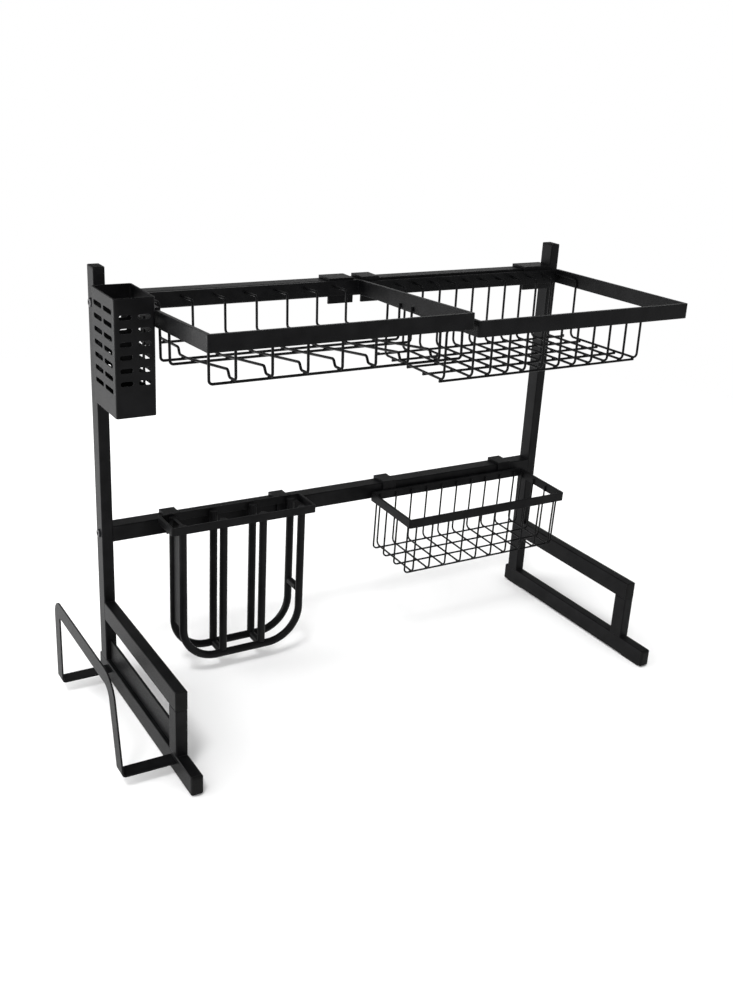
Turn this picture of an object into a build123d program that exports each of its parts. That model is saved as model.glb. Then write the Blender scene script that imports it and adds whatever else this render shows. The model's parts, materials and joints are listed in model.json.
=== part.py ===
"""Over sink dish rack: a welded side frame at each end, two rails between them, and hung holders.

Two baskets reach forward from the top rail: a plate rack on the left and a bowl basket on the right.
A cutlery box hangs on the plate rack's left bar. A board holder and a small basket hang on the lower
rail, and a lid holder stands out from the left foot. Each hung holder lifts straight up off its seat.

Millimetres, +Z up. The origin is at floor level in the middle of the whole rack's footprint.
"""

import math
import os

from build123d import *

os.makedirs("parts", exist_ok=True)

# Frame
frame_width = 661
frame_height = 520
tube_width = 14
tube_depth = 21
tube_wall = 1.5
foot_tube_height = 23
foot_reach = 276
heel_reach = 3
short_post_reach = 235
window_height = 57
foot_rail_height = 24
top_rail_drop = 31
lower_rail_height = 206
rail_tube_height = 20.5

# End caps, pads and bolts of the frame
cap_thickness = 2
cap_plug_depth = 12
cap_chamfer = 0.7
toe_cap_length = 4
toe_cap_rounding = 3
pad_thickness = 1.5
pad_length = 34
pad_inset = 3
bolt_shank = 6
bolt_head = 10.5
bolt_head_height = 2.4
bolt_socket = 4
bolt_socket_depth = 1.3
bolt_length = 30
hex_sides = 6

# Clearances
running_gap = 0.3
weld_gap = 0.05
plug_gap = 0.1
overrun = 2

# Rings of flat bar and the hooks that carry them on a rail
bar_thickness = 5
bar_rounding = 3
hook_metal = 3
hook_drop = 14

# Plate rack and bowl basket
ring_depth = 250
ring_height = 18
ring_hook_foot = 8
end_hook_width = 15
end_hook_inset = 1.5
middle_hook_width = 25
middle_hook_overhang = 3
plate_hook_width = 35
plate_hook_inset = 9
bowl_hook_width = 46
bowl_hook_inset = 12
upper_wire = 3

plate_left = 29
plate_seat_drop = 17.5
plate_tilt = 2.7
plate_wire_inset = 36.3
plate_wire_shift = -4.5
plate_wire_count = 7
plate_bend = 4
plate_front_drop = 31
plate_front_hem = 15.5
plate_hump_drop = 23.5
plate_hump_slope = 4
plate_dip = 34.4
plate_dip_back = 115
plate_dip_length = 19
plate_rear_drop = 27
plate_rear_slope = 3
plate_rear_setback = 38
side_row_back = 132.6
side_row_spacing = 27
side_row_up = 5
tie_setback = 12
tie_end = 4
wire_top_up = 10
flange_up = 12

ring_gap = 6
ring_right_inset = 2
bowl_seat_drop = 20.2
bowl_tilt = 1
bowl_wire_inset = 38.6
bowl_wire_shift = 8
bowl_wire_count = 10
bowl_row_count = 5
bowl_bend = 7
bowl_drop = 66
bowl_front_setback = 65
bowl_rear_setback = 21
bowl_side_setback = 44
bowl_front_shoulder = 6
bowl_front_rise = 5
bowl_end_share = 0.2

# Lower basket
tray_right_inset = 30.5
tray_width = 255.5
tray_depth = 101.5
tray_height = 12
tray_bar = 3
tray_seat_drop = 21
tray_tilt = -1.7
tray_hook_width = 20
tray_hook_inset = 20
tray_wire = 2.4
tray_wire_inset = 13.7
tray_wire_count = 10
tray_row_count = 4
tray_drop = 67
tray_bend = 6
tray_wire_up = 8

# Board holder
board_left = 81.3
board_width = 172
board_rod = 10
board_corner = 45
board_bottom = 19.6
board_bar_count = 2
board_gap = 21.5
board_ring_height = 10
board_ring_lift = 7
board_rod_below = 2
board_plate = 3
board_strip = 3
board_flare = 12
board_hook_width = 20
board_hook_inset = 12
board_spacer_height_share = 0.4

# Cutlery box and its hanger
box_width = 44.5
box_depth = 72
box_height = 126
box_wall = 1.2
box_rounding = 3
box_top_over_ring = 18
box_setback = 62
slot_height = 5.4
slot_pitch = 14
slot_rows = 6
slot_first = 37
side_slot_rows = 7
side_slot_first = 27.5
front_slot_length = 14
front_slot_spacing = 20
side_slot_length = 26
side_slot_spacing = 31
hanger_metal = 1.5
hanger_slack = 5
hanger_width = 22
hanger_drop = 10
hanger_tail = 40
rivet_diameter = 3.2
rivet_head = 6
rivet_head_height = 1
rivet_spacing = 14
rivet_up = 8.5

# Lid holder at the left foot
side_reach = 62
side_height = 126
side_strip = 18.5
side_metal = 2
side_arm_top = 18.7
side_front = 236
side_lean = 13.5
side_rear_corner = 20
side_front_corner = 34
side_inner_corner = 3
side_arm_bend = 3
quarter_turn = 90
strip_metal = 3
strip_height = 28
strip_inset = 2

# Places that follow from the sizes above
left_face = side_reach - (side_reach + frame_width + bolt_head_height) / 2
right_face = left_face + frame_width
toe_reach = foot_reach + toe_cap_length
heel = tube_depth + heel_reach
post_front = (toe_reach - heel - toe_cap_length) / 2
post_back = post_front + tube_depth
post_middle = (post_front + post_back) / 2
side_faces = {"left": left_face, "right": right_face - tube_width}
foot_top = pad_thickness + foot_tube_height
foot_rail_bottom = foot_top + window_height
top_rail_height = frame_height - top_rail_drop
rail_tops = {"top_rail": top_rail_height, "lower_rail": lower_rail_height}
rail_length = frame_width - 2 * tube_width
rail_left = left_face + tube_width
plug_inset = 2 * (tube_wall + plug_gap)
ring_width = (frame_width - plate_left - ring_gap - ring_right_inset) / 2
bowl_left = plate_left + ring_width + ring_gap
tray_left = frame_width - tray_right_inset - tray_width
plate_seat = top_rail_height - plate_seat_drop
bowl_seat = top_rail_height - bowl_seat_drop
tray_seat = lower_rail_height - tray_seat_drop
plate_pitch = (ring_width - 2 * plate_wire_inset) / (plate_wire_count - 1)
bowl_pitch = (ring_width - 2 * bowl_wire_inset) / (bowl_wire_count - 1)
tray_pitch = (tray_width - 2 * tray_wire_inset) / (tray_wire_count - 1)


def keep(piece, name):
    """Labels a finished piece and writes its file."""
    piece.part.label = name
    export_step(piece.part, f"parts/{name}.step")


def tube_section(width, depth):
    """The section of a rectangular tube, in the sketch that is open."""
    RectangleRounded(width, depth, tube_wall)
    Rectangle(width - 2 * tube_wall, depth - 2 * tube_wall, mode=Mode.SUBTRACT)


def bent_rod(points, bends, thickness):
    """A round rod or wire through the points, with a bend at each corner."""
    with BuildPart() as rod:
        with BuildLine() as route:
            FilletPolyline(*points, radius=bends)
        with BuildSketch(Plane(origin=route.line @ 0, z_dir=route.line % 0)):
            Circle(thickness / 2)
        sweep()
    return rod.part


def spread(count, pitch, shift=0):
    """Places along X, evenly spaced about the middle or beside it."""
    return [((index - (count - 1) / 2) * pitch + shift, 0, 0) for index in range(count)]


def tilted_level(left, width, seat, tilt, height):
    """The plane of a ring's underside: its middle, at the back, with the front raised by the tilt."""
    lean = math.sin(math.radians(tilt))
    level = math.cos(math.radians(tilt))
    back = post_front - running_gap - hook_metal - weld_gap - height * max(lean, 0)
    middle = left_face + left + width / 2
    return Plane(origin=(middle, back, seat), x_dir=(1, 0, 0), z_dir=(0, lean, level))


# Posts, each standing on its foot's base rail
for side, face in side_faces.items():
    with BuildPart() as post:
        with BuildSketch(Plane.XY.offset(foot_top)):
            with Locations((face + tube_width / 2, post_middle)):
                tube_section(tube_width, tube_depth)
        extrude(amount=frame_height - cap_thickness - foot_top)
        with BuildSketch(Plane.YZ.offset(face - overrun)):
            with Locations(*[(post_middle, top - rail_tube_height / 2) for top in rail_tops.values()]):
                Circle(bolt_shank / 2 + plug_gap)
        extrude(amount=tube_width + 2 * overrun, mode=Mode.SUBTRACT)
    keep(post, f"{side}_post")

# Plastic plugs that close the posts' tops
for side, face in side_faces.items():
    with BuildPart() as post_cap:
        with BuildSketch(Plane.XY.offset(frame_height - cap_thickness)):
            with Locations((face + tube_width / 2, post_middle)):
                RectangleRounded(tube_width, tube_depth, tube_wall)
        extrude(amount=cap_thickness)
        chamfer(post_cap.faces().sort_by(Axis.Z)[-1].edges(), cap_chamfer)
        with BuildSketch(Plane.XY.offset(frame_height - cap_thickness)):
            with Locations((face + tube_width / 2, post_middle)):
                Rectangle(tube_width - plug_inset, tube_depth - plug_inset)
        extrude(amount=-cap_plug_depth)
    keep(post_cap, f"{side}_post_cap")

# Base rails of the feet, along Y, open at both ends for the toe and heel caps
for side, face in side_faces.items():
    with BuildPart() as foot_base:
        with BuildSketch(Plane.XZ.offset(-(post_back + heel_reach))):
            with Locations((face + tube_width / 2, pad_thickness + foot_tube_height / 2)):
                tube_section(tube_width, foot_tube_height)
        extrude(amount=heel + foot_reach)
    keep(foot_base, f"{side}_foot_base")

# Upper rails of the feet, from the post's front face forward
for side, face in side_faces.items():
    with BuildPart() as foot_rail:
        with BuildSketch(Plane.XZ.offset(-post_front)):
            with Locations((face + tube_width / 2, foot_rail_bottom + foot_rail_height / 2)):
                tube_section(tube_width, foot_rail_height)
        extrude(amount=short_post_reach - cap_thickness)
    keep(foot_rail, f"{side}_foot_rail")

# Short front posts between base rail and upper rail
for side, face in side_faces.items():
    with BuildPart() as short_post:
        with BuildSketch(Plane.XY.offset(foot_top)):
            with Locations((face + tube_width / 2, post_front - short_post_reach + tube_depth / 2)):
                tube_section(tube_width, tube_depth)
        extrude(amount=window_height)
    keep(short_post, f"{side}_short_post")

# Flat plugs in the upper rails' front ends
for side, face in side_faces.items():
    with BuildPart() as rail_cap:
        with BuildSketch(Plane.XZ.offset(short_post_reach - cap_thickness - post_front)):
            with Locations((face + tube_width / 2, foot_rail_bottom + foot_rail_height / 2)):
                RectangleRounded(tube_width, foot_rail_height, tube_wall)
        extrude(amount=cap_thickness)
        chamfer(rail_cap.faces().sort_by(Axis.Y)[0].edges(), cap_chamfer)
        with BuildSketch(Plane.XZ.offset(short_post_reach - cap_thickness - post_front)):
            with Locations((face + tube_width / 2, foot_rail_bottom + foot_rail_height / 2)):
                Rectangle(tube_width - plug_inset, foot_rail_height - plug_inset)
        extrude(amount=-cap_plug_depth)
    keep(rail_cap, f"{side}_foot_rail_cap")

# Rounded caps on the toes and heels of the base rails
base_middle = pad_thickness + foot_tube_height / 2
for side, face in side_faces.items():
    for end, end_y, outward in (("toe", post_front - foot_reach, -1), ("heel", post_back + heel_reach, 1)):
        with BuildPart() as end_cap:
            with BuildSketch(Plane.XZ.offset(-end_y)):
                with Locations((face + tube_width / 2, base_middle)):
                    RectangleRounded(tube_width, foot_tube_height, tube_wall)
            extrude(amount=-outward * toe_cap_length)
            outer_face = end_cap.faces().sort_by(Axis.Y)[0 if outward < 0 else -1]
            fillet(outer_face.edges(), toe_cap_rounding)
            with BuildSketch(Plane.XZ.offset(-end_y)):
                with Locations((face + tube_width / 2, base_middle)):
                    Rectangle(tube_width - plug_inset, foot_tube_height - plug_inset)
            extrude(amount=outward * cap_plug_depth)
        keep(end_cap, f"{side}_{end}_cap")

# Rubber pads under the ends of the base rails
for side, face in side_faces.items():
    with BuildPart() as pads:
        for pad_y in (post_front - foot_reach + pad_inset + pad_length / 2,
                      post_back + heel_reach - pad_inset - pad_length / 2):
            with BuildSketch(Plane.XY):
                with Locations((face + tube_width / 2, pad_y)):
                    RectangleRounded(tube_width - 2 * tube_wall, pad_length, tube_wall)
            extrude(amount=pad_thickness)
    keep(pads, f"{side}_foot_pads")

# The two rails between the posts
for name, rail_top in rail_tops.items():
    with BuildPart() as rail:
        with BuildSketch(Plane.YZ.offset(rail_left)):
            with Locations((post_middle, rail_top - rail_tube_height / 2)):
                tube_section(tube_depth, rail_tube_height)
        extrude(amount=rail_length)
    keep(rail, name)

# Steel inserts in the rails' ends, tapped for the bolts that pass through the posts
for name, rail_top in rail_tops.items():
    bolt_z = rail_top - rail_tube_height / 2
    with BuildPart() as inserts:
        for insert_face in (rail_left, rail_left + rail_length - bolt_length + tube_width):
            with BuildSketch(Plane.YZ.offset(insert_face)):
                with Locations((post_middle, bolt_z)):
                    Rectangle(tube_depth - plug_inset, rail_tube_height - plug_inset)
                    Circle(bolt_shank / 2 + plug_gap, mode=Mode.SUBTRACT)
            extrude(amount=bolt_length - tube_width)
    keep(inserts, f"{name}_inserts")

# Button head bolts through the posts into the rails' inserts
for side, face in side_faces.items():
    outward = -1 if side == "left" else 1
    outer_x = left_face if side == "left" else right_face
    head_planes = [
        Plane(
            origin=(outer_x, post_middle, rail_top - rail_tube_height / 2),
            x_dir=(0, 1, 0),
            z_dir=(outward, 0, 0),
        )
        for rail_top in rail_tops.values()
    ]
    with BuildPart() as bolts:
        for head_plane in head_planes:
            with BuildSketch(head_plane):
                Circle(bolt_head / 2)
            extrude(amount=bolt_head_height)
        outer_rims = bolts.edges().group_by(Axis.X)[0 if side == "left" else -1]
        fillet(outer_rims, bolt_head_height / 2)
        for head_plane in head_planes:
            with BuildSketch(head_plane):
                Circle(bolt_shank / 2)
            extrude(amount=-bolt_length)
            with BuildSketch(head_plane.offset(bolt_head_height)):
                RegularPolygon(bolt_socket / 2, hex_sides, major_radius=False)
            extrude(amount=-bolt_socket_depth, mode=Mode.SUBTRACT)
    keep(bolts, f"{side}_frame_bolts")


def on_level(level, points):
    """Points given on a ring's own level, as points of the whole rack."""
    return [level.from_local_coords(point) for point in points]


# Levels of the three baskets' rings and of the board holder's ring
plate_level = tilted_level(plate_left, ring_width, plate_seat, plate_tilt, ring_height)
bowl_level = tilted_level(bowl_left, ring_width, bowl_seat, bowl_tilt, ring_height)
tray_level = tilted_level(tray_left, tray_width, tray_seat, tray_tilt, tray_height)
board_ring_bottom = lower_rail_height - board_ring_height + board_ring_lift
board_level = tilted_level(board_left, board_width, board_ring_bottom, 0, board_ring_height)
board_ring_width = board_width + 2 * board_flare
board_ring_depth = 2 * (board_strip + board_rod + weld_gap) + board_gap

# Rings of flat bar that stand on edge
for name, level, width, depth, height, thickness in (
    ("plate_rack", plate_level, ring_width, ring_depth, ring_height, bar_thickness),
    ("bowl_basket", bowl_level, ring_width, ring_depth, ring_height, bar_thickness),
    ("lower_basket", tray_level, tray_width, tray_depth, tray_height, tray_bar),
    ("board_holder", board_level, board_ring_width, board_ring_depth, board_ring_height, board_strip),
):
    with BuildPart() as ring:
        with BuildSketch(level):
            with Locations((0, -depth / 2)):
                RectangleRounded(width, depth, bar_rounding)
                Rectangle(width - 2 * thickness, depth - 2 * thickness, mode=Mode.SUBTRACT)
        extrude(amount=height)
    keep(ring, f"{name}_ring")

# Two hooks behind each ring: a plate before the rail, a strip over its top and a lip behind it
hook_front = post_front - running_gap - hook_metal
hook_back = post_back + running_gap + hook_metal
end_hook = (end_hook_width, end_hook_inset)
middle_hook = (middle_hook_width, -middle_hook_overhang)
plate_hook = (plate_hook_width, plate_hook_inset)
bowl_hook = (bowl_hook_width, bowl_hook_inset)
tray_hook = (tray_hook_width, tray_hook_inset)
board_hook = (board_hook_width, board_hook_inset)
tray_hook_foot = lower_rail_height - rail_tube_height - tray_seat
for name, level, width, left_hook, right_hook, rail_top, foot in (
    ("plate_rack", plate_level, ring_width, end_hook, plate_hook, top_rail_height, ring_hook_foot),
    ("bowl_basket", bowl_level, ring_width, middle_hook, bowl_hook, top_rail_height, ring_hook_foot),
    ("lower_basket", tray_level, tray_width, tray_hook, tray_hook, lower_rail_height, tray_hook_foot),
    ("board_holder", board_level, board_ring_width, board_hook, board_hook, lower_rail_height, 0),
):
    left_start = level.origin.X - width / 2 + left_hook[1]
    right_start = level.origin.X + width / 2 - right_hook[1] - right_hook[0]
    plate_bottom = rail_top - rail_tube_height - foot
    hook_top = rail_top + hook_metal
    lip_bottom = rail_top - hook_drop
    with BuildPart() as hooks:
        for hook_start, hook_width in ((left_start, left_hook[0]), (right_start, right_hook[0])):
            with BuildSketch(Plane.YZ.offset(hook_start)):
                with BuildLine():
                    Polyline(
                        (hook_front, plate_bottom),
                        (hook_front, hook_top),
                        (hook_back, hook_top),
                        (hook_back, lip_bottom),
                        (hook_back - hook_metal, lip_bottom),
                        (hook_back - hook_metal, rail_top),
                        (hook_front + hook_metal, rail_top),
                        (hook_front + hook_metal, plate_bottom),
                        close=True,
                    )
                make_face()
            extrude(amount=hook_width)
    keep(hooks, f"{name}_hooks")

# Plate wires: down from the front bar, up a step, a long slope back, up again and up to the rear bar
inner_front = ring_depth - bar_thickness - weld_gap
front_leg = inner_front - upper_wire / 2
rear_leg = plate_rear_setback
flange_end = bar_thickness + weld_gap
hump_start = -front_leg + plate_front_hem + plate_hump_slope
dip_start = -plate_dip_back
dip_end = dip_start + plate_dip_length
plate_points = [
    (0, -front_leg, wire_top_up),
    (0, -front_leg, -plate_front_drop),
    (0, hump_start - plate_hump_slope, -plate_front_drop),
    (0, hump_start, -plate_hump_drop),
    (0, dip_start, -plate_dip),
    (0, dip_end, -plate_dip),
    (0, dip_end + plate_rear_slope, -plate_rear_drop),
    (0, -rear_leg, -plate_rear_drop),
    (0, -rear_leg, flange_up),
    (0, -flange_end, flange_up),
]
plate_wire = bent_rod(on_level(plate_level, plate_points), plate_bend, upper_wire)
with BuildPart() as plate_wires:
    with Locations(*spread(plate_wire_count, plate_pitch, plate_wire_shift)):
        add(plate_wire)
keep(plate_wires, "plate_rack_wires")

# Wires along the plate rack: three bent up to the side bars, and a straight one under the rear step
under = upper_wire + weld_gap
side_leg = ring_width / 2 - bar_thickness - weld_gap - upper_wire / 2
slope_fall = (plate_dip - plate_hump_drop) / (dip_start - hump_start)
side_row = -side_row_back
side_row_drop = plate_hump_drop + (side_row - hump_start) * slope_fall
with BuildPart() as plate_rails:
    for row_y, row_drop in (
        (-front_leg + plate_front_hem / 2, plate_front_drop + under),
        (side_row, side_row_drop + under / math.cos(math.atan(slope_fall))),
        (side_row + side_row_spacing, plate_dip + under),
    ):
        row_points = [
            (-side_leg, row_y, side_row_up),
            (-side_leg, row_y, -row_drop),
            (side_leg, row_y, -row_drop),
            (side_leg, row_y, side_row_up),
        ]
        add(bent_rod(on_level(plate_level, row_points), plate_bend, upper_wire))
    tie_half = (plate_wire_count - 1) / 2 * plate_pitch + tie_end
    tie_place = (plate_wire_shift - tie_half, -rear_leg - tie_setback, -plate_rear_drop - under)
    with BuildSketch(Plane(origin=plate_level.from_local_coords(tie_place), z_dir=(1, 0, 0))):
        Circle(upper_wire / 2)
    extrude(amount=2 * tie_half)
keep(plate_rails, "plate_rack_cross_wires")


def bowl_route(rear):
    """A bowl wire: a shoulder from the front bar, down, along the floor, up and a flange to the rear bar."""
    return [
        (0, -inner_front + upper_wire * bowl_end_share, bowl_front_rise),
        (0, -bowl_front, -bowl_front_shoulder),
        (0, -bowl_front, -bowl_drop),
        (0, -rear, -bowl_drop),
        (0, -rear, flange_up),
        (0, -flange_end, flange_up),
    ]


# Bowl wires, and one more at each side bar whose rear leg stands further forward
bowl_front = inner_front - bowl_front_setback
bowl_rear = flange_end + bowl_rear_setback
bowl_wire = bent_rod(on_level(bowl_level, bowl_route(bowl_rear)), bowl_bend, upper_wire)
bowl_side_route = bowl_route(flange_end + bowl_side_setback)
bowl_side_wire = bent_rod(on_level(bowl_level, bowl_side_route), bowl_bend, upper_wire)
with BuildPart() as bowl_wires:
    with Locations(*spread(bowl_wire_count, bowl_pitch, bowl_wire_shift)):
        add(bowl_wire)
    with Locations((-side_leg, 0, 0), (side_leg, 0, 0)):
        add(bowl_side_wire)
keep(bowl_wires, "bowl_basket_wires")

# Floor wires along the bowl basket, under the bent ones
bowl_row_pitch = (bowl_front - bowl_rear - 2 * bowl_bend) / (bowl_row_count - 1)
with BuildPart() as bowl_floor:
    for row in range(bowl_row_count):
        row_y = -bowl_rear - bowl_bend - row * bowl_row_pitch
        row_start = bowl_level.from_local_coords((-side_leg - upper_wire / 2, row_y, -bowl_drop - under))
        with BuildSketch(Plane(origin=row_start, z_dir=(1, 0, 0))):
            Circle(upper_wire / 2)
        extrude(amount=2 * side_leg + upper_wire)
keep(bowl_floor, "bowl_basket_floor_wires")

# Basket wires from front to back, and others from side to side under them
tray_leg = tray_bar + weld_gap + tray_wire / 2
tray_points = [
    (0, tray_leg - tray_depth, tray_wire_up),
    (0, tray_leg - tray_depth, -tray_drop),
    (0, -tray_leg, -tray_drop),
    (0, -tray_leg, tray_wire_up),
]
tray_wire_piece = bent_rod(on_level(tray_level, tray_points), tray_bend, tray_wire)
with BuildPart() as tray_wires:
    with Locations(*spread(tray_wire_count, tray_pitch)):
        add(tray_wire_piece)
keep(tray_wires, "lower_basket_wires")

tray_side_leg = tray_width / 2 - tray_leg
tray_under = tray_wire + weld_gap
row_span = tray_depth - 2 * (tray_leg + tray_bend)
with BuildPart() as tray_rows:
    for row in range(tray_row_count):
        row_y = -tray_leg - tray_bend - row * row_span / (tray_row_count - 1)
        row_points = [
            (-tray_side_leg, row_y, tray_wire_up),
            (-tray_side_leg, row_y, -tray_drop - tray_under),
            (tray_side_leg, row_y, -tray_drop - tray_under),
            (tray_side_leg, row_y, tray_wire_up),
        ]
        add(bent_rod(on_level(tray_level, row_points), tray_bend, tray_wire))
keep(tray_rows, "lower_basket_cross_wires")

# The two loops of rod, each with upright bars, and the spacers that join them
loop_inset = board_strip + weld_gap + board_rod / 2
board_middle = board_level.origin.X
board_back = board_level.origin.Y
loop_places = {"rear": board_back - loop_inset, "front": board_back - board_ring_depth + loop_inset}
leg_x = board_width / 2 - board_rod / 2
floor_z = board_bottom + board_rod / 2
bar_pitch = 2 * leg_x / (board_bar_count + 1)
rod_top = board_ring_bottom + board_ring_height - board_rod_below
for place, loop_y in loop_places.items():
    with BuildPart() as loop:
        add(
            bent_rod(
                [
                    (board_middle - leg_x, loop_y, rod_top),
                    (board_middle - leg_x, loop_y, floor_z),
                    (board_middle + leg_x, loop_y, floor_z),
                    (board_middle + leg_x, loop_y, rod_top),
                ],
                board_corner,
                board_rod,
            )
        )
    keep(loop, f"board_holder_{place}_loop")
    with BuildPart() as bars:
        bar_start = floor_z + board_rod / 2 + weld_gap
        with BuildSketch(Plane.XY.offset(bar_start)):
            with Locations(*[(board_middle + x, loop_y) for x, _, _ in spread(board_bar_count, bar_pitch)]):
                Circle(board_rod / 2)
        extrude(amount=rod_top - bar_start)
    keep(bars, f"board_holder_{place}_bars")

spacer_y = loop_places["rear"] - board_rod / 2 - weld_gap
spacer_length = board_gap - 2 * weld_gap
side_spacer_z = board_bottom + board_spacer_height_share * (lower_rail_height - board_bottom)
spacer_places = [(board_middle + x, floor_z) for x, _, _ in spread(board_bar_count, bar_pitch)]
spacer_places += [(board_middle + leg_x, side_spacer_z)]
with BuildPart() as spacers:
    with BuildSketch(Plane.XZ.offset(-spacer_y)):
        with Locations(*spacer_places):
            Circle(board_rod / 2 - weld_gap)
    extrude(amount=spacer_length)
keep(spacers, "board_holder_spacers")

# Plate that closes the space between the loops' left legs, down to where the legs start to bend
side_plate_bottom = floor_z + board_corner
with BuildPart() as side_plate:
    with BuildSketch(Plane.XY.offset(side_plate_bottom)):
        with Locations((board_middle - leg_x, (loop_places["rear"] + loop_places["front"]) / 2)):
            Rectangle(board_plate, spacer_length)
    extrude(amount=rod_top - side_plate_bottom)
keep(side_plate, "board_holder_side_plate")

# Cutlery box: open at the top, with rows of slots in all four walls
bar_outer = left_face + plate_left
hanger_outer = bar_outer - running_gap - hanger_slack - hanger_metal
box_right = hanger_outer - weld_gap
box_middle = box_right - box_width / 2
box_back = post_front - box_setback
box_centre_y = box_back - box_depth / 2
hanger_front = box_centre_y - hanger_width / 2
lean_angle = math.radians(plate_tilt)
ring_rise = (plate_level.origin.Y - hanger_front) * math.tan(lean_angle)
hang_height = plate_seat + ring_height / math.cos(lean_angle) + ring_rise + running_gap
box_top = hang_height + box_top_over_ring
box_bottom = box_top - box_height
rivet_height = hang_height - hanger_tail + rivet_up
rivet_places = [(box_centre_y + side * rivet_spacing / 2, rivet_height) for side in (-1, 1)]
slot_heights = [box_bottom + slot_first + row * slot_pitch for row in range(slot_rows)]
side_heights = [box_bottom + side_slot_first + row * slot_pitch for row in range(side_slot_rows)]
with BuildPart() as cutlery_box:
    with BuildSketch(Plane.XY.offset(box_bottom)):
        with Locations((box_middle, box_centre_y)):
            RectangleRounded(box_width, box_depth, box_rounding)
    extrude(amount=box_height)
    with BuildSketch(Plane.XY.offset(box_bottom + box_wall)):
        with Locations((box_middle, box_centre_y)):
            RectangleRounded(box_width - 2 * box_wall, box_depth - 2 * box_wall, box_rounding - box_wall)
    extrude(amount=box_height, mode=Mode.SUBTRACT)
    with BuildSketch(Plane.XZ.offset(-(box_back + overrun))):
        for slot_z in slot_heights:
            with Locations(*[(box_middle + side * front_slot_spacing / 2, slot_z) for side in (-1, 1)]):
                SlotOverall(front_slot_length, slot_height)
    extrude(amount=box_depth + 2 * overrun, mode=Mode.SUBTRACT)
    with BuildSketch(Plane.YZ.offset(box_right - box_width - overrun)):
        for slot_z in side_heights:
            with Locations(*[(box_centre_y + side * side_slot_spacing / 2, slot_z) for side in (-1, 1)]):
                SlotOverall(side_slot_length, slot_height)
    extrude(amount=box_width + 2 * overrun, mode=Mode.SUBTRACT)
    with BuildSketch(Plane.YZ.offset(box_right - box_wall - overrun)):
        with Locations(*rivet_places):
            Circle(rivet_diameter / 2 + plug_gap)
    extrude(amount=box_wall + 2 * overrun, mode=Mode.SUBTRACT)
keep(cutlery_box, "cutlery_box")

# Hanger of the cutlery box: a strip up its side, over the plate rack's left bar and down inside
hanger_inner = bar_outer + bar_thickness + running_gap + hanger_metal
with BuildPart() as hanger:
    with BuildSketch(Plane.XZ.offset(-(box_centre_y + hanger_width / 2))):
        with BuildLine():
            Polyline(
                (hanger_outer, hang_height - hanger_tail),
                (hanger_outer, hang_height + hanger_metal),
                (hanger_inner, hang_height + hanger_metal),
                (hanger_inner, hang_height - hanger_drop),
                (hanger_inner - hanger_metal, hang_height - hanger_drop),
                (hanger_inner - hanger_metal, hang_height),
                (hanger_outer + hanger_metal, hang_height),
                (hanger_outer + hanger_metal, hang_height - hanger_tail),
                close=True,
            )
        make_face()
    extrude(amount=hanger_width)
    with BuildSketch(Plane.YZ.offset(hanger_outer - overrun)):
        with Locations(*rivet_places):
            Circle(rivet_diameter / 2 + plug_gap)
    extrude(amount=hanger_metal + 2 * overrun, mode=Mode.SUBTRACT)
keep(hanger, "cutlery_hanger")

# Rivets through the box's wall and the hanger, with their heads inside the box
rivet_face = box_right - box_wall
with BuildPart() as rivets:
    with BuildSketch(Plane.YZ.offset(rivet_face - rivet_head_height)):
        with Locations(*rivet_places):
            Circle(rivet_head / 2)
    extrude(amount=rivet_head_height)
    with BuildSketch(Plane.YZ.offset(rivet_face)):
        with Locations(*rivet_places):
            Circle(rivet_diameter / 2)
    extrude(amount=box_wall + weld_gap + hanger_metal)
keep(rivets, "cutlery_rivets")

# Lid holder: a frame of flat strip beside the left foot, on two arms bent flat to the base rail
side_outer = left_face - side_reach
outer_bend = side_arm_bend + side_metal
bend_x = side_outer + outer_bend
bend_z = side_arm_top + side_arm_bend
side_slope = math.tan(math.radians(side_lean))
slant_width = side_strip / math.cos(math.radians(side_lean))
front_foot = post_front - side_front
front_top = front_foot + (side_height - bend_z) * side_slope
inner_top = side_height - side_strip
inner_corner_y = front_foot + slant_width + (inner_top - bend_z) * side_slope
with BuildPart() as lid_frame:
    with BuildSketch(Plane.YZ.offset(side_outer)):
        with BuildLine():
            outer_edge = FilletPolyline(
                (post_front, bend_z),
                (post_front, side_height),
                (front_top, side_height),
                (front_foot, bend_z),
                radius=[side_rear_corner, side_front_corner],
            )
            inner_edge = FilletPolyline(
                (post_front - side_strip, bend_z),
                (post_front - side_strip, inner_top),
                (inner_corner_y, inner_top),
                (front_foot + slant_width, bend_z),
                radius=[side_inner_corner, side_front_corner - side_strip],
            )
            Line(outer_edge @ 0, inner_edge @ 0)
            Line(outer_edge @ 1, inner_edge @ 1)
        make_face()
    extrude(amount=side_metal)
    for arm_y, arm_width in ((post_front, side_strip), (front_foot + slant_width, slant_width)):
        with BuildSketch(Plane.XZ.offset(-arm_y)):
            with BuildLine():
                outer_arc = CenterArc((bend_x, bend_z), outer_bend, 2 * quarter_turn, quarter_turn)
                inner_arc = CenterArc((bend_x, bend_z), side_arm_bend, 2 * quarter_turn, quarter_turn)
                Line(outer_arc @ 0, inner_arc @ 0)
                Polyline(
                    outer_arc @ 1,
                    (left_face, side_arm_top - side_metal),
                    (left_face, side_arm_top),
                    inner_arc @ 1,
                )
            make_face()
        extrude(amount=arm_width)
keep(lid_frame, "lid_holder_frame")

# Strip that stands on the base rail in the left foot's window, behind the lids
with BuildPart() as lid_strip:
    with BuildSketch(Plane.XY.offset(foot_top)):
        with Locations((left_face + tube_width / 2, post_front - (short_post_reach - tube_depth) / 2)):
            Rectangle(strip_metal, short_post_reach - tube_depth - 2 * strip_inset)
    extrude(amount=strip_height)
keep(lid_strip, "lid_holder_strip")
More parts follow.
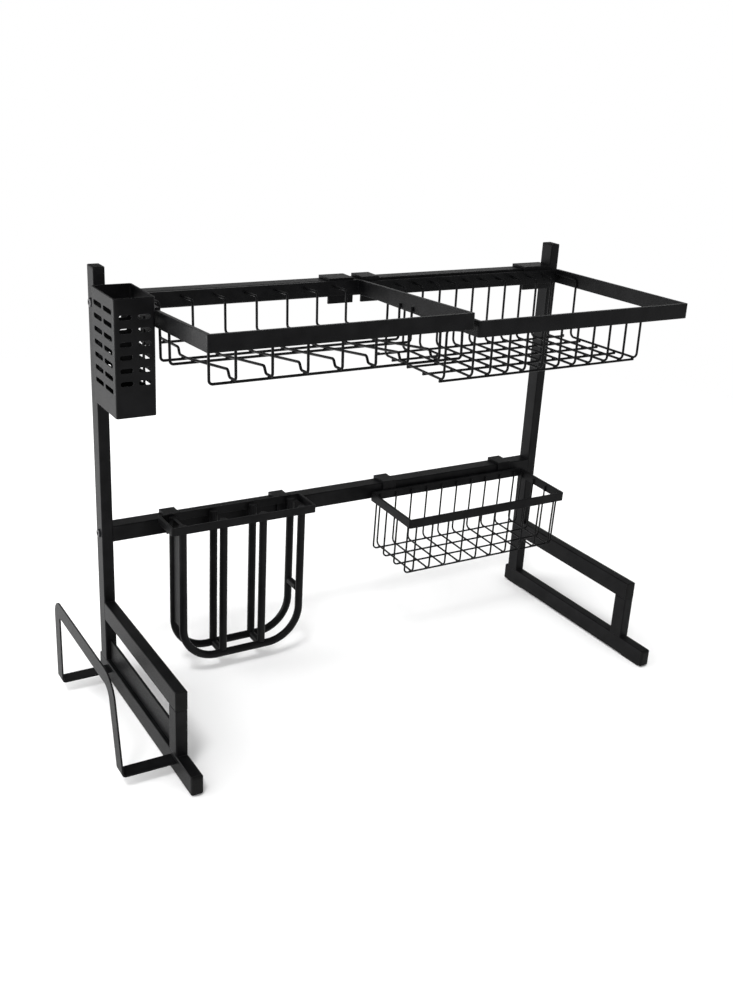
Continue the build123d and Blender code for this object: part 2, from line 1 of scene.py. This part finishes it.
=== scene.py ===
# %% [markdown]
# # Over sink dish rack
# The rack is a welded steel frame with hung baskets, all in black powder coat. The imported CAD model
# gives every tube, bar and wire its place, so this lesson adds what the factory adds to the steel:
# the finish, softened edges, spot welds, weld beads and the rolled hem of the cutlery box.
# The first lines load that model. Its nodes stay where they are, and everything is in metres.

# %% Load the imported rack
import json
import math

import bmesh
import bpy
from mathutils import Matrix, Vector


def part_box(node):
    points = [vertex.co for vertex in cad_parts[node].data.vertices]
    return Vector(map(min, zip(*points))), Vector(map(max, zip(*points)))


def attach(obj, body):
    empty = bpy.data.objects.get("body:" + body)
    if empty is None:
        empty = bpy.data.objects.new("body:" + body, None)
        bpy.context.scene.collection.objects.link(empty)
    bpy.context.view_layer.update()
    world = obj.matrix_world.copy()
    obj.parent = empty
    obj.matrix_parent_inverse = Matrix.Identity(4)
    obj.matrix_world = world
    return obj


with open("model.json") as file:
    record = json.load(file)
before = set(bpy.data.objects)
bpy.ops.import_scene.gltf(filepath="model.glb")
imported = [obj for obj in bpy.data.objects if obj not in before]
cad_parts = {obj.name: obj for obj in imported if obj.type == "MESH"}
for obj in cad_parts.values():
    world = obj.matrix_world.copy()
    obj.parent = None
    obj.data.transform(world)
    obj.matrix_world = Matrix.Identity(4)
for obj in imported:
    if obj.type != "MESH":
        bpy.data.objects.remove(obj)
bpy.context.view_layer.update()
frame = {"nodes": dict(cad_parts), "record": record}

MM = 0.001

# %% [markdown]
# ## The camera
# The photograph was taken from the left and above, with a slight roll. A camera placed by aiming at
# the object would lose that roll, so its three axes are built from yaw, pitch and roll. The focal
# length is 1151.8 pixels on a picture 1000 pixels high, and the height of the sensor turns it to
# millimetres.

# %% Camera of the photograph
YAW = math.radians(31.54)
PITCH = math.radians(21.8)
ROLL = math.radians(3.22)
CAMERA_PLACE = Vector((-694.8, -1120.7, 769.5)) * MM
FOCAL_PIXELS = 1151.8
PHOTO_HEIGHT = 1000
SENSOR_MM = 36
level_ahead = Vector((math.sin(YAW), math.cos(YAW), 0))
level_right = Vector((math.cos(YAW), -math.sin(YAW), 0))
forward = math.cos(PITCH) * level_ahead - math.sin(PITCH) * Vector((0, 0, 1))
level_up = level_right.cross(forward)
camera_x = math.cos(ROLL) * level_right + math.sin(ROLL) * level_up
camera_y = math.cos(ROLL) * level_up - math.sin(ROLL) * level_right
camera_data = bpy.data.cameras.new("photo_camera")
camera_data.sensor_fit = "VERTICAL"
camera_data.sensor_height = SENSOR_MM
camera_data.lens = FOCAL_PIXELS / PHOTO_HEIGHT * SENSOR_MM
camera = bpy.data.objects.new("photo_camera", camera_data)
bpy.context.collection.objects.link(camera)
axes = Matrix((camera_x, camera_y, -forward)).transposed().to_4x4()
camera.matrix_world = Matrix.Translation(CAMERA_PLACE) @ axes
bpy.context.scene.camera = camera
print("lens, mm:", round(camera_data.lens, 2))

# %% [markdown]
# ## Colours and nodes
# Paint charts give colours as sRGB hex codes, while shaders want linear light, so one function
# turns the first into the second. A second function adds any shader or geometry node with its
# settings and its inputs. An input that is itself a socket becomes a link, and anything else
# becomes the value.

# %% Two helpers for colour and nodes
def linear(code):
    """An sRGB hex code as a linear colour with full alpha."""
    shares = [int(code[place:place + 2], 16) / 255 for place in (1, 3, 5)]
    light = [s / 12.92 if s <= 0.04045 else ((s + 0.055) / 1.055) ** 2.4 for s in shares]
    return (*light, 1.0)


def add(tree, kind, inputs=None, **settings):
    """A new node in the tree, with its settings, and its inputs by name or by number."""
    made = tree.nodes.new(kind)
    for name, value in settings.items():
        setattr(made, name, value)
    for name, value in (inputs or {}).items():
        if isinstance(value, bpy.types.NodeSocket):
            tree.links.new(value, made.inputs[name])
        else:
            made.inputs[name].default_value = value
    return made


WHITE = linear("#FFFFFF")
print("darkest coat, linear:", [round(share, 4) for share in linear("#0A0A0B")])

# %% [markdown]
# ## The surround and the light
# A black rack on white shows mostly by what it mirrors at a slant. What the camera and the coat's
# gloss see around the rack is white up to 8 degrees above the horizon, and from 20 degrees up it is
# a dim ceiling. That leaves the tops of the bars dark, as they are in the photograph, while the
# sides catch the white at a slant. Rays that light surfaces see an even dome instead, which is
# somewhat brighter on the left. The heights are those of a ray one metre long.

# %% White surround and soft dome
WHITE_UP_TO = 0.14
CEILING_FROM = 0.34
CEILING_STRENGTH = 0.16
DOME_LEFT = 1.2
DOME_RIGHT = 0.56
world = bpy.data.worlds.new("studio")
bpy.context.scene.world = world
world.use_nodes = True
sky = world.node_tree
sky.nodes.clear()
ray_direction = add(sky, "ShaderNodeTexCoord").outputs["Generated"]
heading = add(sky, "ShaderNodeSeparateXYZ", {0: ray_direction})
surround = add(
    sky, "ShaderNodeMapRange",
    {"Value": heading.outputs["Z"], "From Min": WHITE_UP_TO, "From Max": CEILING_FROM,
     "To Min": 1.0, "To Max": CEILING_STRENGTH},
    interpolation_type="SMOOTHSTEP",
)
dome = add(
    sky, "ShaderNodeMapRange",
    {"Value": heading.outputs["X"], "From Min": -1.0, "From Max": 1.0,
     "To Min": DOME_LEFT, "To Max": DOME_RIGHT},
)
seen = add(sky, "ShaderNodeBackground", {"Color": WHITE, "Strength": surround.outputs[0]})
lighting = add(sky, "ShaderNodeBackground", {"Color": WHITE, "Strength": dome.outputs[0]})
rays = add(sky, "ShaderNodeLightPath")
camera_or_gloss = add(
    sky, "ShaderNodeMath",
    {0: rays.outputs["Is Camera Ray"], 1: rays.outputs["Is Glossy Ray"]},
    operation="MAXIMUM",
)
sees_surround = add(
    sky, "ShaderNodeMath",
    {0: camera_or_gloss.outputs[0], 1: rays.outputs["Is Transmission Ray"]},
    operation="MAXIMUM",
)
mixed = add(
    sky, "ShaderNodeMixShader",
    {0: sees_surround.outputs[0], 1: lighting.outputs[0], 2: seen.outputs[0]},
)
add(sky, "ShaderNodeOutputWorld", {"Surface": mixed.outputs[0]})
print("dome, left and right:", DOME_LEFT, DOME_RIGHT)

# %% [markdown]
# ## Two lamps
# A sun from the front left draws short contact shadows under whatever is close to the floor. It is
# 13 degrees wide, so the shadow of what is high blurs away. A broad soft lamp stands low at the
# left and a little behind the rack, where it grazes the floor and shows in the rack's left sides.

# %% Sun and soft lamp
SUN_STRENGTH = 1.0
SUN_WIDTH = math.radians(13)
SUN_FROM = Vector((-0.4, -0.42, 1.0))
LAMP_WATTS = 22.0
LAMP_WIDTH = 1.2
LAMP_HEIGHT = 0.7
LAMP_PLACE = Vector((-1.35, 0.75, 0.36))
LAMP_BACK = Vector((-1.0, 0.45, 0.0))


def facing(back):
    """The turn that points a lamp away from the given direction."""
    return back.to_track_quat("Z", "Y").to_euler()


sun_data = bpy.data.lights.new("soft_key", "SUN")
sun_data.energy = SUN_STRENGTH
sun_data.angle = SUN_WIDTH
sun = bpy.data.objects.new("soft_key", sun_data)
sun.rotation_euler = facing(SUN_FROM)
bpy.context.collection.objects.link(sun)
strip_data = bpy.data.lights.new("left_strip", "AREA")
strip_data.shape = "RECTANGLE"
strip_data.size = LAMP_WIDTH
strip_data.size_y = LAMP_HEIGHT
strip_data.energy = LAMP_WATTS
strip = bpy.data.objects.new("left_strip", strip_data)
strip.location = LAMP_PLACE
strip.rotation_euler = facing(LAMP_BACK)
strip.visible_camera = False
bpy.context.collection.objects.link(strip)
print("lamps:", sun.name, strip.name)

# %% [markdown]
# ## The floor
# The rack stands on matt white card. The card is a round disc that keeps the rack's shadow, and it
# fades out towards its rim, so that no edge shows between the floor and the white surround. It lies
# a fifth of a millimetre under the rubber pads, which keeps the two faces from mixing.

# %% Floor that fades into the surround
FLOOR_RADIUS = 1.7
FADE_START = 0.95
FLOOR_DROP = 0.2 * MM
FLOOR_SIDES = 96
floor_mesh = bpy.data.meshes.new("studio_floor")
disc = bmesh.new()
bmesh.ops.create_circle(disc, cap_ends=True, segments=FLOOR_SIDES, radius=FLOOR_RADIUS)
bmesh.ops.translate(disc, verts=disc.verts, vec=(0, 0, -FLOOR_DROP))
disc.to_mesh(floor_mesh)
disc.free()
floor = bpy.data.objects.new("studio_floor", floor_mesh)
bpy.context.collection.objects.link(floor)

card = bpy.data.materials.new("matt_white_card")
card.use_nodes = True
tree = card.node_tree
tree.nodes.clear()
place = add(tree, "ShaderNodeTexCoord").outputs["Object"]
radius = add(tree, "ShaderNodeVectorMath", {0: place}, operation="LENGTH")
fade = add(
    tree, "ShaderNodeMapRange",
    {"Value": radius.outputs["Value"], "From Min": FADE_START, "From Max": FLOOR_RADIUS,
     "To Min": 0.0, "To Max": 1.0},
    interpolation_type="SMOOTHSTEP",
)
matt = add(tree, "ShaderNodeBsdfDiffuse", {"Color": linear("#FDFDFD"), "Roughness": 0.3})
clear = add(tree, "ShaderNodeBsdfTransparent")
blend = add(
    tree, "ShaderNodeMixShader",
    {0: fade.outputs[0], 1: matt.outputs[0], 2: clear.outputs[0]},
)
add(tree, "ShaderNodeOutputMaterial", {"Surface": blend.outputs[0]})
floor_mesh.materials.append(card)
bpy.context.scene.view_settings.view_transform = "Standard"
print("floor, m:", FLOOR_RADIUS, "fades from", FADE_START)

# %% [markdown]
# ## Black powder coat and its neighbours
# Tubes, bars, rods and sheet are sprayed with a satin polyester powder and baked. Under a lens the
# film has a fine orange peel, a grain of about half a millimetre, and a faint mottle where it is
# thicker. The real grain is finer than a pixel here, so it is drawn near 1.6 mm. On edges the
# powder draws thin, and the paler line drawn there is partly that and partly a painted highlight:
# the bevel node rounds the normal near an edge, and where it leaves the true normal the colour is
# lifted. Moulded plastic, rubber and plain steel have the same three traits in other measures, so
# one function serves all.

# %% A finish with grain, mottle and paler edges that are partly painted highlight
MOTTLE_SIZE = 22 * MM
MOTTLE_SPAN = (0.35, 0.65)
GRAIN_SPAN = (0.3, 0.7)
EDGE_RADIUS = 0.7 * MM
EDGE_SAMPLES = 4
EDGE_STARTS = 0.985
EDGE_FULL = 0.8
# How far the edge colour is mixed in: partly thin coat on edges, partly a painted highlight
THIN_EDGE_AND_HIGHLIGHT_SHARE = 0.75
SMOOTHER = 0.05
ROUGHER = 0.06
PEEL_STRENGTH = 0.35


def grained_finish(name, dark, light, edge, rough, grain_mm, bump_mm, specular, metallic=0.0):
    """A material with a fine grain in its gloss and relief, a soft mottle, and paler edges that are
    partly thin coat and partly a painted highlight.
    """
    material = bpy.data.materials.new(name)
    material.use_nodes = True
    tree = material.node_tree
    tree.nodes.clear()
    place = add(tree, "ShaderNodeTexCoord").outputs["Object"]
    grain = add(
        tree, "ShaderNodeTexNoise",
        {"Vector": place, "Scale": 1 / (grain_mm * MM), "Detail": 2.0},
    )
    mottle = add(
        tree, "ShaderNodeTexNoise",
        {"Vector": place, "Scale": 1 / MOTTLE_SIZE, "Detail": 3.0},
    )
    tone = add(
        tree, "ShaderNodeMapRange",
        {"Value": mottle.outputs[0], "From Min": MOTTLE_SPAN[0], "From Max": MOTTLE_SPAN[1]},
    )
    body = add(
        tree, "ShaderNodeMix",
        {"Factor": tone.outputs[0], 6: linear(dark), 7: linear(light)},
        data_type="RGBA",
    )
    rounded = add(tree, "ShaderNodeBevel", {"Radius": EDGE_RADIUS}, samples=EDGE_SAMPLES)
    true_normal = add(tree, "ShaderNodeNewGeometry").outputs["Normal"]
    agreement = add(
        tree, "ShaderNodeVectorMath",
        {0: rounded.outputs[0], 1: true_normal},
        operation="DOT_PRODUCT",
    )
    # Edge mask: the paler edge colour laid here is partly thin powder and partly a painted highlight
    thin_edge_and_highlight_mask = add(
        tree, "ShaderNodeMapRange",
        {"Value": agreement.outputs["Value"], "From Min": EDGE_STARTS, "From Max": EDGE_FULL,
         "To Min": 0.0, "To Max": THIN_EDGE_AND_HIGHLIGHT_SHARE},
    )
    colour = add(
        tree, "ShaderNodeMix",
        {"Factor": thin_edge_and_highlight_mask.outputs[0], 6: body.outputs[2], 7: linear(edge)},
        data_type="RGBA",
    )
    gloss = add(
        tree, "ShaderNodeMapRange",
        {"Value": grain.outputs[0], "From Min": GRAIN_SPAN[0], "From Max": GRAIN_SPAN[1],
         "To Min": rough - SMOOTHER, "To Max": rough + ROUGHER},
    )
    peel = add(
        tree, "ShaderNodeBump",
        {"Height": grain.outputs[0], "Strength": PEEL_STRENGTH, "Distance": bump_mm * MM,
         "Normal": rounded.outputs[0]},
    )
    shader = add(
        tree, "ShaderNodeBsdfPrincipled",
        {"Base Color": colour.outputs[2], "Roughness": gloss.outputs[0],
         "Normal": peel.outputs[0], "Specular IOR Level": specular, "Metallic": metallic},
    )
    add(tree, "ShaderNodeOutputMaterial", {"Surface": shader.outputs[0]})
    print(name, "grain, mm:", grain_mm)
    return material


# %% [markdown]
# ## The rack's finishes
# Each finish starts from the real one. All the blacks lie close together, so the eye tells them
# apart by their sheen: it is tight on bolts and wire, satin on sprayed bar, and dull on plastic and
# rubber. The record names a slot for every node, and the slot names the finish.

# %% Finishes on the CAD nodes
# The edge colour of each finish is partly its thinner coat on edges and partly a painted highlight
# Satin black polyester powder on steel tube, bar and rod: soft sheen, no mirror
powder_coat = grained_finish(
    "satin_black_powder_coat", dark="#0A0A0B", light="#121213", edge="#2A2A2D",
    rough=0.4, grain_mm=1.6, bump_mm=0.12, specular=0.08,
)
# The same powder on thin wire flows out smoother, so its sheen is a little tighter
wire_coat = grained_finish(
    "satin_black_wire_coat", dark="#0A0A0B", light="#111112", edge="#202022",
    rough=0.34, grain_mm=1.2, bump_mm=0.05, specular=0.08,
)
# Moulded polypropylene with a fine spark texture: flat black with hardly any sheen
moulded_plastic = grained_finish(
    "spark_textured_polypropylene", dark="#0C0C0C", light="#131313", edge="#202020",
    rough=0.62, grain_mm=0.9, bump_mm=0.1, specular=0.1,
)
# Moulded rubber: the flattest black on the rack, a shade greyer on its edges, partly from handling
# and partly as a painted highlight
moulded_rubber = grained_finish(
    "moulded_black_rubber", dark="#0E0E0E", light="#151515", edge="#1E1E1E",
    rough=0.8, grain_mm=1.1, bump_mm=0.08, specular=0.15,
)
# Black oxide on steel fasteners: thin, slightly oily and smoother than powder
oxide_steel = grained_finish(
    "black_oxide_steel", dark="#151517", light="#1E1E22", edge="#404046",
    rough=0.33, grain_mm=0.7, bump_mm=0.02, specular=0.4,
)
# Turned mild steel of the hidden inserts, left plain
turned_steel = grained_finish(
    "plain_turned_steel", dark="#8E8F92", light="#A9AAAD", edge="#C2C3C6",
    rough=0.3, grain_mm=0.6, bump_mm=0.02, specular=0.5, metallic=1.0,
)
finish_of_slot = {
    "black_powder_coat": powder_coat,
    "black_wire_coat": wire_coat,
    "black_plastic": moulded_plastic,
    "black_rubber": moulded_rubber,
    "black_bolt_steel": oxide_steel,
    "plain_insert_steel": turned_steel,
}
for subpart in frame["record"]["subparts"]:
    node_materials = frame["nodes"][subpart["node"]].data.materials
    node_materials.clear()
    node_materials.append(finish_of_slot[subpart["material_slot"]])

# %% [markdown]
# ## Places taken from the wires
# Wires are welded where they cross, and the crossings need not be typed in: the CAD wires tell
# them. A CAD mesh is a set of loose triangles, so a copy is merged before it is split into its
# pieces. The pieces come in the order of the mesh's own points, so that each run gives the same
# list. A row wire's height and depth come from its lowest stretch.

# %% Pieces of a node and the crossings of two nodes
MERGE_DISTANCE = 0.001 * MM
STRETCH = 1.05


def pieces_of(name):
    """The loose pieces of a CAD node, each as a list of points in metres."""
    copy = bmesh.new()
    copy.from_mesh(frame["nodes"][name].data)
    bmesh.ops.remove_doubles(copy, verts=copy.verts, dist=MERGE_DISTANCE)
    copy.verts.index_update()
    found = set()
    pieces = []
    for start in copy.verts:
        if start.index in found:
            continue
        found.add(start.index)
        piece = [start]
        for point in piece:
            for edge in point.link_edges:
                other = edge.other_vert(point)
                if other.index not in found:
                    found.add(other.index)
                    piece.append(other)
        pieces.append([point.co.copy() for point in piece])
    copy.free()
    return pieces


def crossings(wires, rows, thickness):
    """Points where bent wires lie on the row wires under them."""
    wire_middles = []
    for wire in pieces_of(wires):
        sides = [point.x for point in wire]
        wire_middles.append((min(sides) + max(sides)) / 2)
    places = []
    for row in pieces_of(rows):
        left_end = min(point.x for point in row) - thickness
        right_end = max(point.x for point in row) + thickness
        bottom = min(point.z for point in row)
        depths = [point.y for point in row if point.z < bottom + STRETCH * thickness]
        y = (min(depths) + max(depths)) / 2
        crossed = [x for x in wire_middles if left_end < x < right_end]
        places += [Vector((x, y, bottom + thickness)) for x in crossed]
    return places


for rows in ("plate_rack_cross_wires", "bowl_basket_floor_wires", "lower_basket_cross_wires"):
    print(rows, "pieces:", len(pieces_of(rows)))

# %% [markdown]
# ## From a tree to a piece
# Spot welds, beads and the hem are all drawn by Geometry Nodes trees with named inputs. Three
# helpers do what they share: one makes an empty tree with its inputs, one runs a tree on a start
# mesh and keeps the result as a plain mesh, and one hands that mesh over to the body it moves with.

# %% Helpers for trees and pieces
def new_tree(name, sockets):
    """An empty Geometry Nodes tree with one output mesh, and its input node."""
    tree = bpy.data.node_groups.new(name, "GeometryNodeTree")
    for label, kind in sockets.items():
        tree.interface.new_socket(label, in_out="INPUT", socket_type=f"NodeSocket{kind}")
    tree.interface.new_socket("Mesh", in_out="OUTPUT", socket_type="NodeSocketGeometry")
    return tree, add(tree, "NodeGroupInput").outputs


def grown(tree, name, start_mesh, values):
    """The plain mesh that a tree makes from a start mesh and the values of its inputs."""
    holder = bpy.data.objects.new(name, start_mesh)
    bpy.context.collection.objects.link(holder)
    modifier = holder.modifiers.new(name, "NODES")
    modifier.node_group = tree
    for item in tree.interface.items_tree:
        if item.in_out == "INPUT" and item.name in values:
            modifier[item.identifier] = values[item.name]
    bpy.context.view_layer.update()
    graph = bpy.context.evaluated_depsgraph_get()
    mesh = bpy.data.meshes.new_from_object(holder.evaluated_get(graph))
    bpy.data.objects.remove(holder)
    bpy.data.meshes.remove(start_mesh)
    mesh.name = name
    return mesh


def hand_over(name, mesh, body):
    """The finished mesh as a piece that moves with a body."""
    piece = bpy.data.objects.new(name, mesh)
    bpy.context.collection.objects.link(piece)
    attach(piece, body)
    print(name, "faces:", len(mesh.polygons))


# %% [markdown]
# ## Spot welds
# Where two wires are pressed together and welded, a little steel squeezes out and stays as a flat
# nugget under the powder. The tree sets a small ball on every point, flattens it, and varies its
# turn and size a little with a fixed seed. The same tree serves every basket.

# %% A tree that sets nuggets on points
BALL_SEGMENTS = 8
BALL_RINGS = 5
SMALLEST = (0.88, 0.88, 0.88)
LARGEST = (1.14, 1.14, 1.1)
FULL_TURN = (0.0, 0.0, 6.283)
nuggets, given = new_tree("weld_nuggets", {
    "Points": "Geometry", "Radius": "Float", "Flatness": "Float", "Seed": "Int", "Coat": "Material",
})
ball = add(
    nuggets, "GeometryNodeMeshUVSphere",
    {"Segments": BALL_SEGMENTS, "Rings": BALL_RINGS, "Radius": given["Radius"]},
)
squash = add(nuggets, "ShaderNodeCombineXYZ", {"X": 1.0, "Y": 1.0, "Z": given["Flatness"]})
flat = add(
    nuggets, "GeometryNodeTransform",
    {"Geometry": ball.outputs["Mesh"], "Scale": squash.outputs[0]},
)
turn = add(
    nuggets, "FunctionNodeRandomValue",
    {0: (0.0, 0.0, 0.0), 1: FULL_TURN, "Seed": given["Seed"]},
    data_type="FLOAT_VECTOR",
)
swell = add(
    nuggets, "FunctionNodeRandomValue",
    {0: SMALLEST, 1: LARGEST, "Seed": given["Seed"]},
    data_type="FLOAT_VECTOR",
)
spread = add(
    nuggets, "GeometryNodeInstanceOnPoints",
    {"Points": given["Points"], "Instance": flat.outputs[0],
     "Rotation": turn.outputs[0], "Scale": swell.outputs[0]},
)
real = add(nuggets, "GeometryNodeRealizeInstances", {0: spread.outputs[0]})
smooth = add(nuggets, "GeometryNodeSetShadeSmooth", {0: real.outputs[0]})
coated = add(
    nuggets, "GeometryNodeSetMaterial",
    {"Geometry": smooth.outputs[0], "Material": given["Coat"]},
)
add(nuggets, "NodeGroupOutput", {0: coated.outputs[0]})


def weld_set(name, body, slot, places, radius_mm, flatness, seed):
    """Nuggets on the given places, as one plain mesh that moves with a body."""
    points = bpy.data.meshes.new(name)
    points.from_pydata([tuple(place) for place in places], [], [])
    mesh = grown(nuggets, name, points, {
        "Radius": radius_mm * MM, "Flatness": flatness, "Seed": seed, "Coat": finish_of_slot[slot],
    })
    hand_over(name, mesh, body)
    print(name, "welds:", len(places))


# %% [markdown]
# The thin wires of the lower basket are welded with less current, so their nuggets are smaller. The
# wire diameters repeat those of the CAD model.

# %% Spot welds of the three baskets
WIRE = 3 * MM
THIN_WIRE = 2.4 * MM
SPOT_FLATNESS = 0.6
for body, row_name, thickness, radius_mm, seed in (
    ("plate_rack", "cross_wires", WIRE, 2.1, 3),
    ("bowl_basket", "floor_wires", WIRE, 2.1, 5),
    ("lower_basket", "cross_wires", THIN_WIRE, 1.7, 7),
):
    spots = crossings(f"{body}_wires", f"{body}_{row_name}", thickness)
    weld_set(f"{body}_spot_welds", body, "black_wire_coat", spots, radius_mm, SPOT_FLATNESS, seed)

# %% [markdown]
# ## Weld beads of the feet
# The tubes of each foot are joined by short arc welds. A bead is a row of overlapping drops, each a
# little flattened, laid along the line where two tubes meet. The same tree draws them, smaller and
# closer together, on lines that come from the boxes of the CAD tubes.

# %% Beads between posts, rails and short posts
BEAD_STEP = 1.3 * MM
BEAD_INSET = 2.5 * MM
BEAD_RADIUS_MM = 1.3
BEAD_FLATNESS = 0.8
BEAD_SEED = 11


def bead(start, length):
    """Places of the drops of a weld that runs along X from its start."""
    count = max(2, int(length / BEAD_STEP))
    run = Vector((length, 0, 0))
    return [start + run * (index / (count - 1)) for index in range(count)]


def bead_across(tube, y, z):
    """Drops from side to side of a tube, given by its two corners, at one depth and height."""
    low_corner, high_corner = tube
    start = Vector((low_corner.x + BEAD_INSET, y, z))
    return bead(start, high_corner.x - low_corner.x - 2 * BEAD_INSET)


for side in ("left", "right"):
    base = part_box(f"{side}_foot_base")
    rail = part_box(f"{side}_foot_rail")
    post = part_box(f"{side}_post")
    short_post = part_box(f"{side}_short_post")
    drops = []
    for upright in (post, short_post):
        for corner in upright:
            drops += bead_across(upright, corner.y, base[1].z)
    for corner in rail:
        drops += bead_across(rail, post[0].y, corner.z)
    drops += bead_across(rail, short_post[1].y, rail[0].z)
    weld_set(
        f"{side}_foot_weld_beads", "frame", "black_powder_coat",
        drops, BEAD_RADIUS_MM, BEAD_FLATNESS, BEAD_SEED,
    )

# %% [markdown]
# ## Tack welds of the hooks
# Each hook plate is held to its ring by two short tacks at its edges, on the ring's top. They are
# short beads as well, laid where the hook's front face meets the ring's back bar. A ring may lean,
# so the height is taken from the top of its back bar alone.

# %% Tacks between hooks and rings
HUNG = ("plate_rack", "bowl_basket", "lower_basket", "board_holder")
BACK_BAR = 8 * MM
TACK_LENGTH = 5 * MM
TACK_INSET = 1 * MM
TACK_SINK = 0.6 * MM
TACK_RADIUS_MM = 1.2
TACK_SEED = 13
for body in HUNG:
    ring_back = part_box(f"{body}_ring")[1].y
    ring_points = [point for piece in pieces_of(f"{body}_ring") for point in piece]
    back_top = max(point.z for point in ring_points if point.y > ring_back - BACK_BAR)
    tacks = []
    for hook in pieces_of(f"{body}_hooks"):
        hook_left = min(point.x for point in hook)
        hook_right = max(point.x for point in hook)
        for x in (hook_left + TACK_INSET, hook_right - TACK_INSET - TACK_LENGTH):
            tacks += bead(Vector((x, ring_back, back_top - TACK_SINK)), TACK_LENGTH)
    weld_set(
        f"{body}_hook_tacks", body, "black_powder_coat",
        tacks, TACK_RADIUS_MM, BEAD_FLATNESS, TACK_SEED,
    )

# %% [markdown]
# ## Hem of the cutlery box
# The box is folded from thin sheet, and its top edge is turned over so that it is not sharp. The
# hem is a thin tube around the opening: a rectangle with rounded corners as a path, and a small
# circle swept along it. Its path lies on the middle of the wall, so the roll stands a little proud
# on both sides.

# %% A rolled hem around the opening
HEM_ROLL = 0.9 * MM
HEM_INSET = 0.6 * MM
HEM_CORNER = 2.4 * MM
HEM_CORNER_POINTS = 5
HEM_SIDES = 10
rolled_hem, given = new_tree("rolled_hem", {
    "Start": "Geometry", "Width": "Float", "Depth": "Float", "Corner": "Float", "Roll": "Float",
    "Coat": "Material",
})
outline = add(
    rolled_hem, "GeometryNodeCurvePrimitiveQuadrilateral",
    {"Width": given["Width"], "Height": given["Depth"]},
)
path = add(
    rolled_hem, "GeometryNodeFilletCurve",
    {"Curve": outline.outputs[0], "Radius": given["Corner"], "Count": HEM_CORNER_POINTS},
    mode="POLY",
)
section = add(
    rolled_hem, "GeometryNodeCurvePrimitiveCircle",
    {"Resolution": HEM_SIDES, "Radius": given["Roll"]},
)
tube = add(
    rolled_hem, "GeometryNodeCurveToMesh",
    {"Curve": path.outputs[0], "Profile Curve": section.outputs[0]},
)
real = add(rolled_hem, "GeometryNodeRealizeInstances", {0: tube.outputs[0]})
smooth = add(rolled_hem, "GeometryNodeSetShadeSmooth", {0: real.outputs[0]})
coated = add(
    rolled_hem, "GeometryNodeSetMaterial",
    {"Geometry": smooth.outputs[0], "Material": given["Coat"]},
)
add(rolled_hem, "NodeGroupOutput", {0: coated.outputs[0]})

box_low, box_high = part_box("cutlery_box")
hem_mesh = grown(rolled_hem, "cutlery_box_hem", bpy.data.meshes.new("cutlery_box_hem"), {
    "Width": box_high.x - box_low.x - 2 * HEM_INSET,
    "Depth": box_high.y - box_low.y - 2 * HEM_INSET,
    "Corner": HEM_CORNER,
    "Roll": HEM_ROLL,
    "Coat": powder_coat,
})
opening_middle = (box_low + box_high) / 2
opening_middle.z = box_high.z
hem_mesh.transform(Matrix.Translation(opening_middle))
hand_over("cutlery_box_hem", hem_mesh, "cutlery_box")

# %% [markdown]
# ## Softened edges
# Bent strip, flat bar and sheet have edges broken by tumbling before they are sprayed. The CAD
# meshes are loose triangles, so a Weld modifier joins them first and a Bevel modifier then rounds
# the sharp edges. The meshes themselves stay as they came.

# %% Weld and bevel on bars, hooks and strips
EDGE_BREAK = 0.35 * MM
EDGE_STEPS = 2
SHARP_FROM = math.radians(40)
softened = [f"{body}_{part}" for part in ("ring", "hooks") for body in HUNG]
softened += ["cutlery_hanger", "lid_holder_frame", "lid_holder_strip"]
for name in softened:
    join = frame["nodes"][name].modifiers.new("join", "WELD")
    join.merge_threshold = MERGE_DISTANCE
    round_edges = frame["nodes"][name].modifiers.new("soft_edges", "BEVEL")
    round_edges.width = EDGE_BREAK
    round_edges.segments = EDGE_STEPS
    round_edges.limit_method = "ANGLE"
    round_edges.angle_limit = SHARP_FROM
print("softened nodes:", len(softened))
